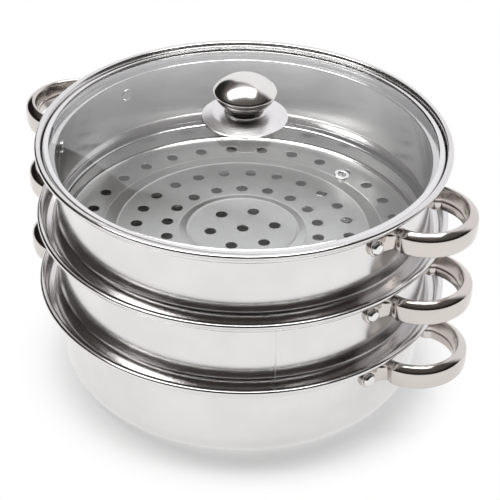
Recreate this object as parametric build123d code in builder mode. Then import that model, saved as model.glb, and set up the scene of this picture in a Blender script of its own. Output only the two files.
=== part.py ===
from build123d import *
from math import asin, atan, cos, degrees, radians, sin, sqrt, tan
import os

# Three-tier steamer pot: a pot, two perforated steamers stacked in its rim and a domed glass lid.
# Lengths are in millimetres and angles in degrees.
# The base stands on z = 0 with the pot's axis on Z, and the handles lie along X.

# Stainless sheet, and the gaps between pieces
sheet = 0.6
seat_gap = 0.3
joint_gap = 0.1
overrun = 2.0

# Rim that the pot and both steamers share, measured down from its top
rim_radius = 145.0
rim_width = 4.0
rim_height = 3.7
rim_bevel = 1.1
recess_depth = 8.8
recess_lean = 2.1
ledge_drop = 0.8
ledge_width = 8.6

# Pot
pot_height = 74.5
pot_straight_depth = 29.0
pot_lean_angle = 5.0
pot_corner_radius = 22.0
pot_corner_facets = 4

# Steamer, whose bead sits on the ledge of the rim below
tier_pitch = 54.4
flare_start = 0.1
bead_inset = 4.5
skirt_gap = 0.6
skirt_height = 12.9
hole_radius = 4.1
hole_sides = 8
hole_phase = 40.0
step_width = 6.0
step_height = 1.2

# Rings of holes and the step of the floor, as shares of the skirt's radius, with the holes in each ring
ring_radius_shares = (0.1819, 0.4254, 0.5933, 0.8634)
ring_counts = (6, 18, 24, 30)
step_radius_share = 0.7182

# Loop handle, whose depths are measured down from the rim's top
loop_reach = 36.0
loop_thickness = 9.0
loop_set_in = 5.5
loop_crest_depth = 9.0
loop_foot_depth = 27.5
loop_side_height = 10.0
loop_lean = 4.5
loop_crest_width = 2.4
loop_inner_bevel = 3.5
root_inner = 27.0
root_outer = 37.5
root_bevel = 1.5
lug_thickness = 2.2
lug_height = 13.0
lug_run = 9.0

# Rivets that hold the handles
rivet_side = 43.1
rivet_depth = 22.0
rivet_sides = 8
rivet_head_radius = 5.0
rivet_head_height = 2.6
rivet_head_taper = 35.0
rivet_shank_radius = 2.5
rivet_tail_radius = 4.6
rivet_tail_height = 1.0

# Glass lid, its steel band and its steam vent
glass_thickness = 4.0
glass_inset = 1.6
glass_facets = 3
glass_edge_depth = 3.0
dome_height = 19.0
band_sheet = 0.5
band_gap = 2.0
band_lean = 1.2
band_lip = 3.0
vent_place_share = 0.6463
vent_place_angle = -13.9
vent_radius = 5.0
vent_sleeve_radius = 3.3
vent_bore_radius = 2.6
vent_lip_height = 0.9

# Knob, its base flange and the screw that holds both on the glass
flange_radius = 29.9
flange_edge = 0.8
flange_rise = 1.6
collar_radius = 13.8
collar_height = 5.0
neck_radius = 8.0
neck_height = 2.3
knob_foot_radius = 13.7
knob_radius = 21.9
knob_skirt_height = 11.0
knob_rim_height = 1.2
knob_crown_height = 11.0
knob_facets = 4
screw_radius = 2.5
screw_head_radius = 5.0
screw_head_height = 2.4
screw_reach = 7.0
washer_radius = 9.0
washer_thickness = 1.0
gasket_radius = 11.0
gasket_thickness = 1.5

# Places worked out from the sizes above
lower_rim = pot_height + tier_pitch
upper_rim = lower_rim + tier_pitch
ledge_radius = rim_radius - rim_width - recess_lean
wall_radius = ledge_radius - ledge_width
outer_wall = wall_radius + sheet
bead_radius = ledge_radius - bead_inset
skirt_radius = wall_radius - sheet - rivet_tail_height - skirt_gap
wall_depth = tier_pitch + flare_start
floor_depth = tier_pitch + recess_depth + skirt_height
step_radius = skirt_radius * step_radius_share
loop_centre_radius = rim_radius - loop_set_in
band_radius = rim_radius - rim_width - band_gap
glass_radius = band_radius - glass_inset
vent_place_radius = glass_radius * vent_place_share
lug_radius = outer_wall + joint_gap
rivet_angle = degrees(asin(rivet_side / lug_radius))
dome_top = upper_rim + dome_height
dome_sag = dome_height + glass_edge_depth
dome_radius = (glass_radius**2 + dome_sag**2) / (2 * dome_sag)


def ledge_height(radius, rim_top):
    """Height of the seat ledge below a rim, which falls a little towards the wall."""
    slope = ledge_drop / (ledge_radius - wall_radius)
    return rim_top - recess_depth - slope * (ledge_radius - radius)


def arc_points(centre, radius, start, end, facets):
    """Points along an arc, its angles measured from the radial direction."""
    turns = [start + (end - start) * step / facets for step in range(facets + 1)]
    return [(centre[0] + radius * cos(radians(a)), centre[1] + radius * sin(radians(a))) for a in turns]


def dome_line():
    """Upper face of the glass from its edge to the axis."""
    rim_angle = 90 - degrees(asin(glass_radius / dome_radius))
    return arc_points((0, dome_top - dome_radius), dome_radius, rim_angle, 90, glass_facets)


def dome_facet(radius):
    """Height of the glass's upper face at a radius, and its fall for each unit of radius there."""
    line = dome_line()
    for (far, low), (near, high) in zip(line, line[1:]):
        if radius >= near:
            break
    fall = (high - low) / (far - near)
    return high - fall * (radius - near), fall


def rim_outline(rim_top):
    """Section of the rolled rim, which hangs outside the recess wall."""
    tuck = rim_radius - rim_width - recess_lean * rim_height / recess_depth + sheet / 2
    return [
        (rim_radius - rim_width, rim_top),
        (rim_radius - rim_bevel, rim_top),
        (rim_radius, rim_top - rim_bevel),
        (rim_radius, rim_top - rim_height),
        (tuck, rim_top - rim_height),
    ]


def seat_line(rim_top):
    """Inner face of the sheet from the rim's top to the inner edge of the ledge."""
    return [
        (rim_radius - rim_width, rim_top),
        (ledge_radius, rim_top - recess_depth),
        (wall_radius, rim_top - recess_depth - ledge_drop),
    ]


def radial_plane(angle, radius, height):
    """Plane that faces outwards at an angle round the axis, with its X axis up."""
    turn = radians(angle)
    outwards = (cos(turn), sin(turn), 0)
    return Plane(origin=(radius * cos(turn), radius * sin(turn), height), x_dir=(0, 0, 1), z_dir=outwards)


rivet_angles = (rivet_angle, -rivet_angle, 180 - rivet_angle, 180 + rivet_angle)


def make_pot_body():
    """Pot: rolled rim, seat ledge, leaning wall, round corner and flat base."""
    corner_centre = (
        wall_radius
        - (pot_height - pot_straight_depth - sheet - pot_corner_radius * (1 - sin(radians(pot_lean_angle))))
        * tan(radians(pot_lean_angle))
        - pot_corner_radius * cos(radians(pot_lean_angle)),
        sheet + pot_corner_radius,
    )
    corner = arc_points(corner_centre, pot_corner_radius, -pot_lean_angle, -90, pot_corner_facets)
    with BuildPart() as pot_body:
        with BuildSketch(Plane.XZ):
            with BuildLine():
                Polyline(
                    *seat_line(pot_height),
                    (wall_radius, pot_height - pot_straight_depth),
                    *corner,
                    (0, sheet),
                )
                offset(amount=sheet, side=Side.LEFT, kind=Kind.INTERSECTION)
            make_face()
            with BuildLine():
                Polyline(*rim_outline(pot_height), close=True)
            make_face()
        revolve(axis=Axis.Z)
        for angle in rivet_angles:
            with BuildSketch(radial_plane(angle, wall_radius - overrun, pot_height - rivet_depth)):
                RegularPolygon(rivet_shank_radius + joint_gap, rivet_sides)
            extrude(amount=sheet + 2 * overrun, mode=Mode.SUBTRACT)
    return pot_body


def make_steamer_wall(rim_top):
    """Steamer wall: rim, seat ledge, straight wall, bead that sits on the rim below, and skirt."""
    below = rim_top - tier_pitch
    lift = seat_gap + sheet
    with BuildPart() as steamer_wall:
        with BuildSketch(Plane.XZ):
            with BuildLine():
                Polyline(
                    *seat_line(rim_top),
                    (wall_radius, rim_top - wall_depth),
                    (bead_radius, ledge_height(bead_radius, below) + lift),
                    (skirt_radius, ledge_height(skirt_radius, below) + lift),
                    (skirt_radius, rim_top - floor_depth + sheet),
                )
                offset(amount=sheet, side=Side.LEFT, kind=Kind.INTERSECTION)
            make_face()
            with BuildLine():
                Polyline(*rim_outline(rim_top), close=True)
            make_face()
        revolve(axis=Axis.Z)
        for angle in rivet_angles:
            with BuildSketch(radial_plane(angle, wall_radius - overrun, rim_top - rivet_depth)):
                RegularPolygon(rivet_shank_radius + joint_gap, rivet_sides)
            extrude(amount=sheet + 2 * overrun, mode=Mode.SUBTRACT)
    return steamer_wall


def make_steamer_floor(rim_top):
    """Steamer floor: a plate whose middle is pressed up, with rings of steam holes."""
    low = rim_top - floor_depth
    edge = skirt_radius + sheet
    with BuildPart() as steamer_floor:
        with BuildSketch(Plane.XZ):
            with BuildLine():
                Polyline(
                    (0, low + step_height),
                    (step_radius, low + step_height),
                    (step_radius + step_width, low),
                    (edge, low),
                    (edge, low + sheet),
                    (step_radius + step_width, low + sheet),
                    (step_radius, low + step_height + sheet),
                    (0, low + step_height + sheet),
                    close=True,
                )
            make_face()
        revolve(axis=Axis.Z)
        with BuildSketch(Plane.XY.offset(low - overrun)):
            RegularPolygon(hole_radius, hole_sides)
            for share, count in zip(ring_radius_shares, ring_counts):
                with PolarLocations(skirt_radius * share, count, start_angle=hole_phase):
                    RegularPolygon(hole_radius, hole_sides)
        extrude(amount=step_height + sheet + 2 * overrun, mode=Mode.SUBTRACT)
    return steamer_floor


def loop_section(inner, outer, foot, side, crest, lean, crest_width, bevel):
    """Section of the handle bar: upright outer face, leaning shoulder, narrow crest and inner bevel."""
    return [
        (inner, foot),
        (outer, foot),
        (outer, foot + side),
        (outer - lean, crest),
        (outer - lean - crest_width, crest),
        (inner, crest - bevel),
    ]


def make_handles(rim_top):
    """Pair of loop handles: a half-round bar, two legs that flatten to the wall, and two rivet lugs."""
    crest = rim_top - loop_crest_depth
    foot = rim_top - loop_foot_depth
    bar = loop_section(
        loop_reach - loop_thickness, loop_reach, foot, loop_side_height,
        crest, loop_lean, loop_crest_width, loop_inner_bevel,
    )
    root_foot = rim_top - rivet_depth - lug_height / 2
    root_width = root_outer - root_inner - 2 * root_bevel
    root = loop_section(
        root_inner, root_outer, root_foot, lug_height - root_bevel,
        root_foot + lug_height, root_bevel, root_width, root_bevel,
    )
    wall_meet = sqrt(lug_radius**2 - root_outer**2)
    leg_start = Plane(origin=(loop_centre_radius, 0, 0), x_dir=(0, 1, 0), z_dir=(1, 0, 0))
    leg_end = Plane(origin=(wall_meet, 0, 0), x_dir=(0, 1, 0), z_dir=(1, 0, 0))
    with BuildPart() as handles:
        with BuildSketch(leg_start):
            with BuildLine():
                Polyline(*bar, close=True)
            make_face()
        revolve(axis=Axis((loop_centre_radius, 0, 0), (0, 0, -1)), revolution_arc=180)
        with BuildSketch(leg_start):
            with BuildLine():
                Polyline(*bar, close=True)
            make_face()
        with BuildSketch(leg_end):
            with BuildLine():
                Polyline(*root, close=True)
            make_face()
        loft(ruled=True)
        with BuildSketch(radial_plane(rivet_angle, lug_radius, rim_top - rivet_depth)):
            Circle(lug_height / 2)
            with Locations((0, lug_run / 2)):
                Rectangle(lug_height, lug_run)
            RegularPolygon(rivet_shank_radius + joint_gap, rivet_sides, mode=Mode.SUBTRACT)
        extrude(amount=lug_thickness)
        mirror(about=Plane.XZ)
        with Locations((0, 0, rim_top - rivet_depth)):
            Cylinder(lug_radius, lug_height + 2 * overrun, mode=Mode.SUBTRACT)
        mirror(about=Plane.YZ)
    return handles


def make_rivets(rim_top):
    """Four rivets, each a shank through lug and wall with a domed head outside and a flat tail inside."""
    tail_face = sqrt(wall_radius**2 - rivet_tail_radius**2) - joint_gap
    head_face = lug_radius + lug_thickness + joint_gap
    height = rim_top - rivet_depth
    with BuildPart() as rivets:
        for angle in rivet_angles:
            with BuildSketch(radial_plane(angle, tail_face, height)):
                RegularPolygon(rivet_shank_radius, rivet_sides)
            extrude(amount=head_face - tail_face)
            with BuildSketch(radial_plane(angle, tail_face, height)):
                RegularPolygon(rivet_tail_radius, rivet_sides)
            extrude(amount=-rivet_tail_height)
            with BuildSketch(radial_plane(angle, head_face, height)):
                RegularPolygon(rivet_head_radius, rivet_sides)
            extrude(amount=rivet_head_height, taper=rivet_head_taper)
    return rivets


def vent_axis_plane():
    """Plane on the glass at the vent, square to the dome."""
    turn = radians(vent_place_angle)
    height, fall = dome_facet(vent_place_radius)
    tilt = atan(fall)
    outwards = (cos(turn), sin(turn))
    return Plane(
        origin=(vent_place_radius * outwards[0], vent_place_radius * outwards[1], height),
        x_dir=(outwards[0] * cos(tilt), outwards[1] * cos(tilt), -sin(tilt)),
        z_dir=(outwards[0] * sin(tilt), outwards[1] * sin(tilt), cos(tilt)),
    )


def make_lid_glass():
    """Domed disc of toughened glass with holes for the knob screw and the vent."""
    upper = dome_line()
    lower = [(r, z - glass_thickness) for r, z in reversed(upper)]
    with BuildPart() as lid_glass:
        with BuildSketch(Plane.XZ):
            with BuildLine():
                Polyline(*upper, *lower, close=True)
            make_face()
        revolve(axis=Axis.Z)
        with BuildSketch(Plane.XY.offset(dome_top - glass_thickness - overrun)):
            Circle(screw_radius + seat_gap)
        extrude(amount=glass_thickness + 2 * overrun, mode=Mode.SUBTRACT)
        with BuildSketch(vent_axis_plane()):
            Circle(vent_sleeve_radius + joint_gap)
        extrude(amount=glass_thickness + overrun, both=True, mode=Mode.SUBTRACT)
    return lid_glass


def make_lid_band():
    """Steel band round the glass: a curl over its edge, a leaning web and the lip that rests on the ledge."""
    tip_radius = glass_radius - band_lip / 2
    glass_height, fall = dome_facet(tip_radius)
    tip_height = glass_height + joint_gap
    lip_radius = band_radius - band_lean
    lip_height = ledge_height(lip_radius, upper_rim) + seat_gap + band_sheet
    with BuildPart() as lid_band:
        with BuildSketch(Plane.XZ):
            with BuildLine():
                Polyline(
                    (tip_radius, tip_height),
                    (band_radius, tip_height - fall * (band_radius - tip_radius)),
                    (lip_radius, lip_height),
                    (lip_radius - band_lip, lip_height),
                )
                offset(amount=band_sheet, side=Side.LEFT, kind=Kind.INTERSECTION)
            make_face()
        revolve(axis=Axis.Z)
    return lid_band


def make_vent_grommet():
    """Steel eyelet clinched through the glass."""
    place = vent_axis_plane()
    section = Plane(origin=place.origin, x_dir=place.x_dir, z_dir=-place.y_dir)
    under = -glass_thickness - joint_gap
    with BuildPart() as vent_grommet:
        with BuildSketch(section):
            with BuildLine():
                Polyline(
                    (vent_bore_radius, vent_lip_height),
                    (vent_radius, vent_lip_height),
                    (vent_radius, joint_gap),
                    (vent_sleeve_radius, joint_gap),
                    (vent_sleeve_radius, under),
                    (vent_bore_radius, under),
                    close=True,
                )
            make_face()
        revolve(axis=Axis(place.origin, place.z_dir))
    return vent_grommet


def make_turned(outline):
    """Piece turned about the axis from its outline of radius and height."""
    with BuildPart() as turned:
        with BuildSketch(Plane.XZ):
            with BuildLine():
                Polyline(*outline, close=True)
            make_face()
        revolve(axis=Axis.Z)
    return turned


def make_knob_flange():
    """Low conical base plate with an upright collar under the knob."""
    bore = screw_radius + joint_gap
    seat = dome_facet(flange_radius)[0] + joint_gap
    shoulder = dome_top + flange_edge + flange_rise
    return make_turned([
        (bore, dome_top + joint_gap),
        (flange_radius, seat),
        (flange_radius, seat + flange_edge),
        (collar_radius, shoulder),
        (collar_radius, dome_top + collar_height),
        (bore, dome_top + collar_height),
    ])


def make_knob_neck():
    """Spacer that holds the knob off its collar."""
    foot = dome_top + collar_height
    bore = screw_radius + joint_gap
    return make_turned([
        (bore, foot),
        (neck_radius, foot),
        (neck_radius, foot + neck_height),
        (bore, foot + neck_height),
    ])


def make_knob_skirt():
    """Lower half of the knob, which widens to the rim, with the blind bore for the screw."""
    foot = dome_top + collar_height + neck_height
    bore = screw_radius + joint_gap
    return make_turned([
        (0, foot + screw_reach + joint_gap),
        (0, foot + knob_skirt_height),
        (knob_radius, foot + knob_skirt_height),
        (knob_foot_radius, foot),
        (bore, foot),
        (bore, foot + screw_reach + joint_gap),
    ])


def make_knob_cap():
    """Upper half of the knob: a thin upright rim under a round crown."""
    foot = dome_top + collar_height + neck_height + knob_skirt_height
    crown_radius = (knob_radius**2 + knob_crown_height**2) / (2 * knob_crown_height)
    crown_top = foot + knob_rim_height + knob_crown_height
    rim_angle = 90 - degrees(asin(knob_radius / crown_radius))
    crown = arc_points((0, crown_top - crown_radius), crown_radius, rim_angle, 90, knob_facets)
    return make_turned([(0, foot), (knob_radius, foot), *crown])


def make_knob_screw():
    """Screw from below the glass into the knob."""
    under = washer_foot - joint_gap
    tip = dome_top + collar_height + neck_height + screw_reach
    return make_turned([
        (0, under - screw_head_height),
        (screw_head_radius, under - screw_head_height),
        (screw_head_radius, under),
        (screw_radius, under),
        (screw_radius, tip),
        (0, tip),
    ])


def make_ring(bore, radius, foot, thickness):
    """Flat ring about the axis."""
    with BuildPart() as ring:
        with BuildSketch(Plane.XY.offset(foot)):
            Circle(radius)
            Circle(bore, mode=Mode.SUBTRACT)
        extrude(amount=thickness)
    return ring


# Heights of the gasket and the washer, which hang under the glass
gasket_foot = dome_facet(gasket_radius)[0] - glass_thickness - joint_gap - gasket_thickness
washer_foot = gasket_foot - washer_thickness
clear_bore = screw_radius + joint_gap

pieces = {
    "pot_body": make_pot_body(),
    "pot_handles": make_handles(pot_height),
    "pot_rivets": make_rivets(pot_height),
    "lid_glass": make_lid_glass(),
    "lid_band": make_lid_band(),
    "vent_grommet": make_vent_grommet(),
    "knob_flange": make_knob_flange(),
    "knob_neck": make_knob_neck(),
    "knob_skirt": make_knob_skirt(),
    "knob_cap": make_knob_cap(),
    "knob_screw": make_knob_screw(),
    "knob_washer": make_ring(clear_bore, washer_radius, washer_foot, washer_thickness),
    "knob_gasket": make_ring(clear_bore, gasket_radius, gasket_foot, gasket_thickness),
}
for tier, rim_top in (("lower_steamer", lower_rim), ("upper_steamer", upper_rim)):
    pieces[tier + "_wall"] = make_steamer_wall(rim_top)
    pieces[tier + "_floor"] = make_steamer_floor(rim_top)
    pieces[tier + "_handles"] = make_handles(rim_top)
    pieces[tier + "_rivets"] = make_rivets(rim_top)

os.makedirs("parts", exist_ok=True)
for name, piece in pieces.items():
    piece.part.label = name
    export_step(piece.part, "parts/" + name + ".step")
    print(name, len(piece.part.solids()), round(piece.part.volume, 1))
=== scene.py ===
"""Looks of a three-tier steamer pot: a pot, two perforated steamers and a domed glass lid.

Sizes are in millimetres until a mesh is made. Heights of a tier count from the top of its rim.
"""
import logging
from dataclasses import dataclass, field, replace
from enum import Enum
from math import asin, atan, atan2, cos, exp, hypot, pi, radians, sin, sqrt, tan
from typing import Callable, Iterable, Optional, Sequence, Union

import bmesh
import bpy
from mathutils import Matrix, Vector


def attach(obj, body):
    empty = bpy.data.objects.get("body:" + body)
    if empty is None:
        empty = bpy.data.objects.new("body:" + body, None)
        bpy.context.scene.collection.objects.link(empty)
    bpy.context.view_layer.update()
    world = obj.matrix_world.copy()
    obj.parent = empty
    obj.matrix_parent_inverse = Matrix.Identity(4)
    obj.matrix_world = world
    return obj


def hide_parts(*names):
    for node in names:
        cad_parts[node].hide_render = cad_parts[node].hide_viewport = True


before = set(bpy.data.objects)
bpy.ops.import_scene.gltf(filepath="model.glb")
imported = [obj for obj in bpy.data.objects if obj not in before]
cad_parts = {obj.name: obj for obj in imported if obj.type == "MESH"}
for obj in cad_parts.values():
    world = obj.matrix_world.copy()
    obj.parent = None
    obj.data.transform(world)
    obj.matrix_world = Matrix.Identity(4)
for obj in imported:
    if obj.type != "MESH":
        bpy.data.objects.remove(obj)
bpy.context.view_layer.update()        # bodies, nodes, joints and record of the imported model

LOG = logging.getLogger("steamer")
MM = 0.001
FULL_TURN = 2 * pi
STRAIGHT = 0.01  # turn in radians below which a corner is left as it is
ONE_POINT = 1e-6  # distance below which two points are one
ON_AXIS = 1e-5  # radius below which a ring is one point
CUT_SHARE = 0.48  # most of a side that one corner's cut may take
LEAST_MITRE = 0.3  # keeps a sharp bend of a sheet from running out
WALL_SEGMENTS, KNOB_SEGMENTS, RING_SEGMENTS = 256, 160, 96
Point = tuple[float, float]
Point3 = tuple[float, float, float]
Curve = tuple[Point, ...]
Path = Sequence[Point]
Mesh = bmesh.types.BMesh
Shape = bpy.types.Object


# Outlines


def lerp(a: float, b: float, share: float) -> float:
    """Value between a and b at a share of the way."""
    return a + (b - a) * share


def ease(share: float) -> float:
    """Smooth step from 0 to 1 of a share held between them."""
    share = min(max(share, 0.0), 1.0)
    return share * share * (3 - 2 * share)


def circle(radius: float, count: int, middle: Point = (0.0, 0.0), phase: float = 0.0) -> list[Point]:
    """Points spaced evenly round a circle, the first at a phase in radians."""
    turns = [phase + FULL_TURN * k / count for k in range(count)]
    return [(middle[0] + radius * cos(turn), middle[1] + radius * sin(turn)) for turn in turns]


def shifted(curve: Path, radius: float, height: float) -> list[Point]:
    """Curve moved by a radius and a height."""
    return [(r + radius, z + height) for r, z in curve]


def rounded(points: Path, radii: Sequence[float], steps: int = 6, closed: bool = False) -> list[Point]:
    """Rounds the corners of a path with arcs.

    Args:
        points: Corners of the path.
        radii: Radius at each corner, 0 for a sharp one. An open path's ends stay as they are.
        steps: Chords of each arc.
        closed: Whether the last corner joins the first.

    Returns:
        The path with each rounded corner replaced by points along its arc.
    """
    count = len(points)
    path: list[Point] = []
    for index, (corner, radius) in enumerate(zip(points, radii)):
        if radius <= 0 or (not closed and index in (0, count - 1)):
            path.append(corner)
            continue
        here = Vector(corner)
        back = (Vector(points[index - 1]) - here).normalized()
        on = (Vector(points[(index + 1) % count]) - here).normalized()
        half = (pi - back.angle(on)) / 2
        if half < STRAIGHT:
            path.append(corner)
            continue
        centre = here + (back + on).normalized() * radius / cos(half)
        start = here + back * radius * tan(half) - centre
        end = here + on * radius * tan(half) - centre
        first = atan2(start.y, start.x)
        turn = (atan2(end.y, end.x) - first + pi) % FULL_TURN - pi
        for step in range(steps + 1):
            angle = first + turn * step / steps
            path.append((centre.x + radius * cos(angle), centre.y + radius * sin(angle)))
    return path


def softened(points: Path, cuts: Sequence[float], steps: int = 4) -> list[Point]:
    """Rounds each corner of a closed outline with the same count of points, so outlines can be skinned.

    Args:
        points: Corners of the outline.
        cuts: Length cut from both sides at each corner.
        steps: Chords of each rounding.

    Returns:
        The outline, always with len(points) * (steps + 1) points.
    """
    count = len(points)
    path: list[Point] = []
    for index, (corner, cut) in enumerate(zip(points, cuts)):
        here, before, after = Vector(corner), Vector(points[index - 1]), Vector(points[(index + 1) % count])
        start = here + (before - here).normalized() * min(cut, CUT_SHARE * (before - here).length)
        end = here + (after - here).normalized() * min(cut, CUT_SHARE * (after - here).length)
        for step in range(steps + 1):
            share = step / steps
            spot = start * (1 - share) ** 2 + here * 2 * share * (1 - share) + end * share**2
            path.append((spot.x, spot.y))
    return path


def sheet_outline(face: Path, thickness: float) -> list[Point]:
    """Closed section of a sheet that lies to the left of one of its faces.

    Args:
        face: Points along the face.
        thickness: Thickness of the sheet.

    Returns:
        The face, then the other face on the way back.
    """
    other: list[Point] = []
    for index, spot in enumerate(face):
        ahead = Vector(face[min(index + 1, len(face) - 1)]) - Vector(spot)
        behind = Vector(spot) - Vector(face[max(index - 1, 0)])
        sides = [Vector((-d.y, d.x)).normalized() for d in (behind, ahead) if d.length > ONE_POINT]
        normal = sum(sides, Vector((0.0, 0.0))).normalized()
        reach = thickness / max(normal.dot(sides[0]), LEAST_MITRE)
        other.append((spot[0] + normal.x * reach, spot[1] + normal.y * reach))
    return list(face) + other[::-1]


def ring_outline(radii: Point, heights: Point, bends: Sequence[float], steps: int = 3) -> list[Point]:
    """Section of a ring between two radii and two heights, its bends counted from the low inner corner."""
    (inner, outer), (low, high) = radii, heights
    return rounded([(inner, low), (outer, low), (outer, high), (inner, high)], bends, steps, closed=True)


# Meshes


def placed(name: str, data: bpy.types.ID) -> Shape:
    """Object of some data, put in the scene."""
    made = bpy.data.objects.new(name, data)
    bpy.context.scene.collection.objects.link(made)
    return made


def finished(name: str, body: Mesh, sharp_angle: float = 40.0) -> Shape:
    """Turns a bmesh into a smooth-shaded object.

    Args:
        name: Name of the object.
        body: The bmesh, which is used up.
        sharp_angle: Degrees over which an edge stays sharp.

    Returns:
        The object.
    """
    bmesh.ops.remove_doubles(body, verts=body.verts, dist=ONE_POINT)
    bmesh.ops.recalc_face_normals(body, faces=body.faces)
    mesh = bpy.data.meshes.new(name)
    body.to_mesh(mesh)
    body.free()
    mesh.polygons.foreach_set("use_smooth", [True] * len(mesh.polygons))
    mesh.set_sharp_from_angle(angle=radians(sharp_angle))
    return placed(name, mesh)


def turn_outline(body: Mesh, outline: Path, segments: int, closed: bool = True,
                 place: Optional[Matrix] = None) -> None:
    """Adds an outline of radius and height turned about an axis to a bmesh.

    Args:
        body: What the faces go into.
        outline: Its points of radius and height.
        segments: Faces round the axis.
        closed: Whether its ends are joined.
        place: Where the axis lies, in millimetres; the Z axis if left out.
    """
    place = place or Matrix.Identity(4)
    rows: list[list[bmesh.types.BMVert]] = []
    for radius, height in outline:
        if radius < ON_AXIS:
            rows.append([body.verts.new(place @ Vector((0, 0, height)) * MM)] * segments)
        else:
            ring = circle(radius, segments)
            rows.append([body.verts.new(place @ Vector((x, y, height)) * MM) for x, y in ring])
    pairs = list(zip(rows, rows[1:])) + ([(rows[-1], rows[0])] if closed else [])
    for low, high in pairs:
        for k in range(segments):
            corners = [low[k], low[(k + 1) % segments], high[(k + 1) % segments], high[k]]
            loop = [c for i, c in enumerate(corners) if c is not corners[i - 1]]
            if len(loop) > 2:
                body.faces.new(loop)


def skin_rings(body: Mesh, rings: Sequence[Sequence[Point3]]) -> None:
    """Adds a tube with closed ends to a bmesh.

    Args:
        body: What the faces go into.
        rings: Closed rings of points along the tube, in millimetres.
    """
    rows = [[body.verts.new(Vector(spot) * MM) for spot in ring] for ring in rings]
    count = len(rows[0])
    for low, high in zip(rows, rows[1:]):
        for k in range(count):
            body.faces.new((low[k], low[(k + 1) % count], high[(k + 1) % count], high[k]))
    for row in (rows[0], rows[-1]):
        middle = body.verts.new(sum((v.co for v in row), Vector()) / count)
        for k in range(count):
            body.faces.new((row[k], row[(k + 1) % count], middle))


# Shaders


def operator(operation: str, swapped: bool = False) -> Callable[["Flow", "Value"], "Flow"]:
    """Makes an operator of Flow.

    Args:
        operation: Operation of its Math node.
        swapped: Whether the flow is on the operator's right.

    Returns:
        The operator.
    """
    def work(flow: "Flow", other: "Value") -> "Flow":
        """Adds the Math node."""
        return flow.math(operation, other, flow) if swapped else flow.math(operation, flow, other)
    return work


@dataclass
class Flow:
    """A socket that is worked with as a number: each operator adds its Math node."""

    shader: "Shader"
    socket: bpy.types.NodeSocket

    def math(self, operation: str, *values: "Value") -> "Flow":
        """One Math node on these values."""
        return self.shader.node("Math", {"operation": operation}, dict(enumerate(values)))

    __add__, __radd__ = operator("ADD"), operator("ADD", True)
    __sub__, __rsub__ = operator("SUBTRACT"), operator("SUBTRACT", True)
    __mul__, __rmul__ = operator("MULTIPLY"), operator("MULTIPLY", True)

    def absolute(self) -> "Flow":
        """Size without sign."""
        return self.math("ABSOLUTE", self)

    def power(self, exponent: float) -> "Flow":
        """Power of a value."""
        return self.math("POWER", self, exponent)

    def larger(self, other: "Value") -> "Flow":
        """The larger of two values."""
        return self.math("MAXIMUM", self, other)

    def ramp(self, low: float, high: float, out_low: float = 0.0, out_high: float = 1.0) -> "Flow":
        """Smooth step from out_low where this is low to out_high where it is high."""
        return self.shader.node(
            "MapRange", {"interpolation_type": "SMOOTHSTEP"},
            {"Value": self, "From Min": low, "From Max": high, "To Min": out_low, "To Max": out_high},
        )

    def output(self, name: Union[int, str]) -> "Flow":
        """Another output of the node that this one comes from."""
        return Flow(self.shader, self.socket.node.outputs[name])


def along_across(x: Flow, y: Flow, degrees: float) -> tuple[Flow, Flow]:
    """Parts of a point along and across a direction that is turned from X."""
    turn = radians(degrees)
    return x * cos(turn) + y * sin(turn), x * -sin(turn) + y * cos(turn)


Value = Union[float, int, Flow]
Colour = tuple[float, float, float]
MATERIALS: dict[str, bpy.types.Material] = {}


class Shader:
    """A material or world whose nodes are made by one method."""

    def __init__(self, owner: Union[bpy.types.Material, bpy.types.World]) -> None:
        """Empties the node tree of its owner.

        Args:
            owner: The material or world.
        """
        owner.use_nodes = True
        self.tree = owner.node_tree
        self.tree.nodes.clear()

    def node(self, kind: str, settings: Optional[dict] = None, values: Optional[dict] = None,
             output: Union[int, str] = 0) -> Flow:
        """Adds a node.

        Args:
            kind: Its type without ShaderNode in front.
            settings: What is set on the node first, such as its operation.
            values: Numbers, colours or links of its sockets, by name or place.
            output: The output that is handed back.

        Returns:
            The output as a value.
        """
        made = self.tree.nodes.new("ShaderNode" + kind)
        for key, setting in (settings or {}).items():
            setattr(made, key, setting)
        for key, value in (values or {}).items():
            socket = made.inputs[key]
            if isinstance(value, Flow):
                self.tree.links.new(value.socket, socket)
            elif isinstance(value, tuple) and socket.type == "RGBA":
                socket.default_value = (*value, 1.0)
            else:
                socket.default_value = value
        return Flow(self, made.outputs[output] if made.outputs else None)

    def blend(self, share: Value, first: Union[Colour, Flow], second: Union[Colour, Flow]) -> Flow:
        """Colour between two colours."""
        return self.node("Mix", {"data_type": "RGBA"}, {0: share, 6: first, 7: second}, output=2)

    def place(self) -> Flow:
        """Point on the object in the shared frame, in metres."""
        return self.node("TexCoord", output="Object")

    def parts(self, vector: Flow) -> tuple[Flow, Flow, Flow]:
        """The three numbers of a vector."""
        split = self.node("SeparateXYZ", values={0: vector})
        return split, split.output(1), split.output(2)

    def vector(self, x: Value, y: Value, z: Value) -> Flow:
        """Vector of three numbers."""
        return self.node("CombineXYZ", values={0: x, 1: y, 2: z})

    def noise(self, vector: Flow, scale: float, detail: float, roughness: float = 0.5) -> Flow:
        """Noise from 0 to 1."""
        return self.node("TexNoise", values={
            "Vector": vector, "Scale": scale, "Detail": detail, "Roughness": roughness})

    def bump(self, height: Flow, distance: float) -> Flow:
        """Normal of a surface with that height, whose full step is a distance in metres."""
        return self.node("Bump", values={"Height": height, "Distance": distance})


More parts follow.
